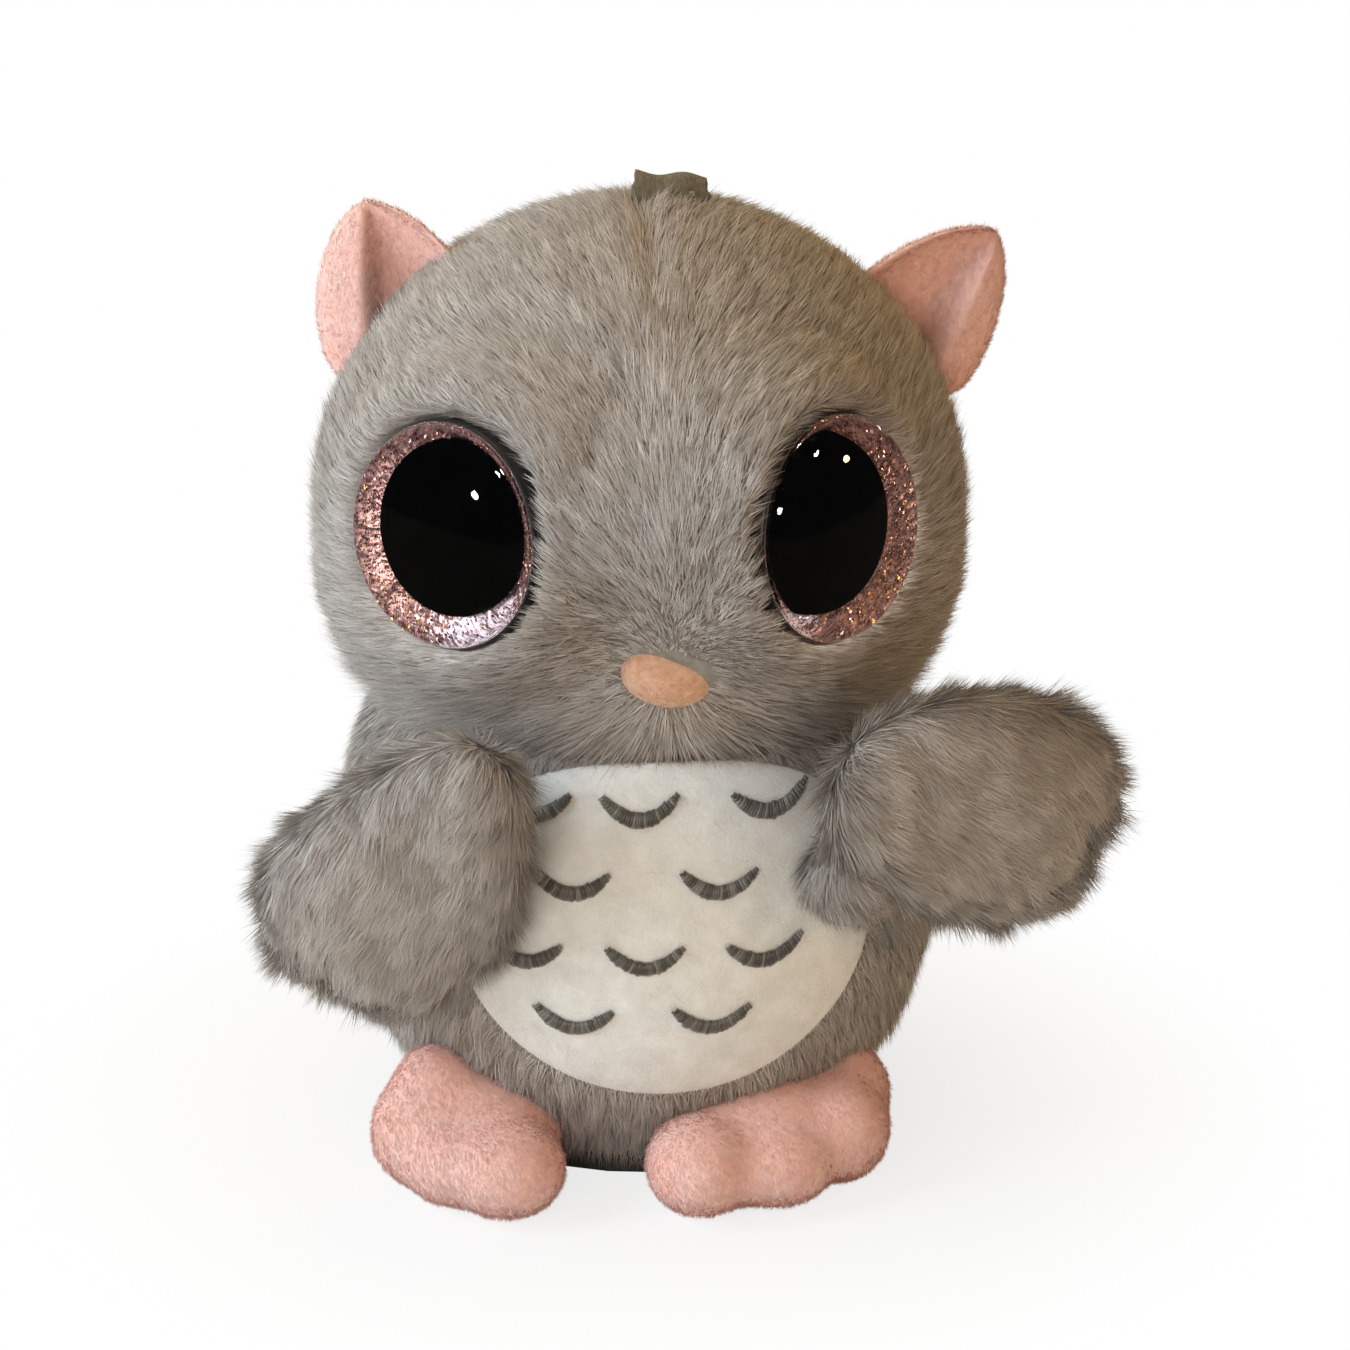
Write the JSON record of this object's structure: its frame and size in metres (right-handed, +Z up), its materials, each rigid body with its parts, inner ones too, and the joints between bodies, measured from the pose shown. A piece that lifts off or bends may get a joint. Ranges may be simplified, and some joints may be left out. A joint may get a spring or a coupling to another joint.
{
  "type": "interactive plush pet",
  "caption": "Sitting plush owl with big glitter eyes, a turning head, two motor-flapped wings, a press-in tummy button and a battery base.",
  "frame": {"origin": "middle of the flat base, on the surface that the toy stands on", "axes": "+Z up, the owl faces -Y, the owl's own left is +X"},
  "size_m": [0.1273, 0.1057, 0.1562],
  "materials": {
    "grey_plush": "long pile plush",
    "cream_plush": "short pile plush with embroidered marks",
    "pink_plush": "short pile plush",
    "nose_felt": "flocked felt",
    "stuffing": "loose fibre",
    "black_plastic": "matt",
    "eye_black": "printed gloss",
    "case_plastic": "matt",
    "nylon": "satin",
    "steel": "plated",
    "eye_glitter": "copper glitter film",
    "clear_plastic": "polished clear acrylic",
    "circuit_board": "solder mask",
    "battery_jacket": "film",
    "khaki_ribbon": "woven ribbon"
  },
  "bodies": {
    "torso": {"body_plush": "grey_plush", "belly_panel": "cream_plush", "body_stuffing": "stuffing", "foot_left": "pink_plush", "foot_right": "pink_plush", "base_housing": "case_plastic", "case_front": "case_plastic", "case_rear": "case_plastic", "neck_post": "case_plastic", "neck_cap": "steel", "switch_body": "black_plastic", "speaker_cone": "black_plastic", "tact_switch": "black_plastic", "button_guide": "nylon", "battery_spring_1": "steel", "battery_spring_2": "steel", "microphone": "steel", "speaker_frame": "steel", "speaker_magnet": "steel", "button_spring": "steel", "case_screw_1": "steel", "case_screw_2": "steel", "case_screw_3": "steel", "drive_axle": "steel", "reduction_axle": "steel", "motor_can": "steel", "battery_1": "battery_jacket", "battery_2": "battery_jacket", "circuit_board": "circuit_board"},
    "battery_door": {"battery_door": "case_plastic", "door_screw": "steel", "door_contact": "steel"},
    "power_switch": {"power_switch_slider": "black_plastic"},
    "tummy_button": {"tummy_button": "nylon"},
    "motor_rotor": {"motor_pinion": "steel"},
    "reduction_gear": {"reduction_gear": "nylon"},
    "drive_gear": {"drive_gear": "nylon"},
    "wing_left": {"wing_left_plush": "grey_plush", "wing_left_lever": "nylon", "wing_left_shaft": "nylon"},
    "wing_right": {"wing_right_plush": "grey_plush", "wing_right_lever": "nylon", "wing_right_shaft": "nylon"},
    "head": {"head_plush": "grey_plush", "head_stuffing": "stuffing", "head_frame": "nylon", "nose": "nose_felt", "ear_left": "pink_plush", "ear_right": "pink_plush", "hanging_loop": "khaki_ribbon", "eye_left_cup": "black_plastic", "eye_left_iris": "eye_glitter", "eye_left_pupil": "eye_black", "eye_left_lens": "clear_plastic", "eye_left_washer": "nylon", "eye_right_cup": "black_plastic", "eye_right_iris": "eye_glitter", "eye_right_pupil": "eye_black", "eye_right_lens": "clear_plastic", "eye_right_washer": "nylon"}
  },
  "joints": [
    {"name": "head_swivel", "type": "hinge", "parent": "torso", "child": "head", "pos_m": [0, 0, 0.08], "axis": [0, 0, 1], "range_deg": [-30, 30]},
    {"name": "wing_left_flap", "type": "hinge", "parent": "torso", "child": "wing_left", "pos_m": [0.029, 0, 0.0555], "axis": [0, 1, 0], "range_deg": [-6, 30]},
    {"name": "wing_right_flap", "type": "hinge", "parent": "torso", "child": "wing_right", "pos_m": [-0.029, 0, 0.0555], "axis": [0, 1, 0], "range_deg": [-6, 30]},
    {"name": "drive_gear_spin", "type": "hinge", "parent": "torso", "child": "drive_gear", "pos_m": [0, 0, 0.04399], "axis": [0, 1, 0], "range_deg": [-60, 12]},
    {"name": "reduction_gear_spin", "type": "hinge", "parent": "torso", "child": "reduction_gear", "pos_m": [0, 0, 0.02959], "axis": [0, 1, 0], "range_deg": [-36, 180]},
    {"name": "motor_spin", "type": "hinge", "parent": "torso", "child": "motor_rotor", "pos_m": [-0.0112, 0, 0.02959], "axis": [0, 1, 0], "range_deg": [-540, 108]},
    {"name": "tummy_press", "type": "slide", "parent": "torso", "child": "tummy_button", "axis": [0, 1, 0], "range_m": [0, 0.002], "stiffness_N_per_m": 200},
    {"name": "power_switch_slide", "type": "slide", "parent": "torso", "child": "power_switch", "axis": [1, 0, 0], "range_m": [0, 0.003]},
    {"name": "battery_door_lift", "type": "slide", "parent": "torso", "child": "battery_door", "axis": [0, 0, -1], "range_m": [0, 0.015]}
  ],
  "couplings": [
    {"joint": "wing_right_flap", "follows": "wing_left_flap", "ratio": 1},
    {"joint": "drive_gear_spin", "follows": "wing_left_flap", "ratio": -2},
    {"joint": "reduction_gear_spin", "follows": "wing_left_flap", "ratio": 6},
    {"joint": "motor_spin", "follows": "wing_left_flap", "ratio": -18}
  ]
}
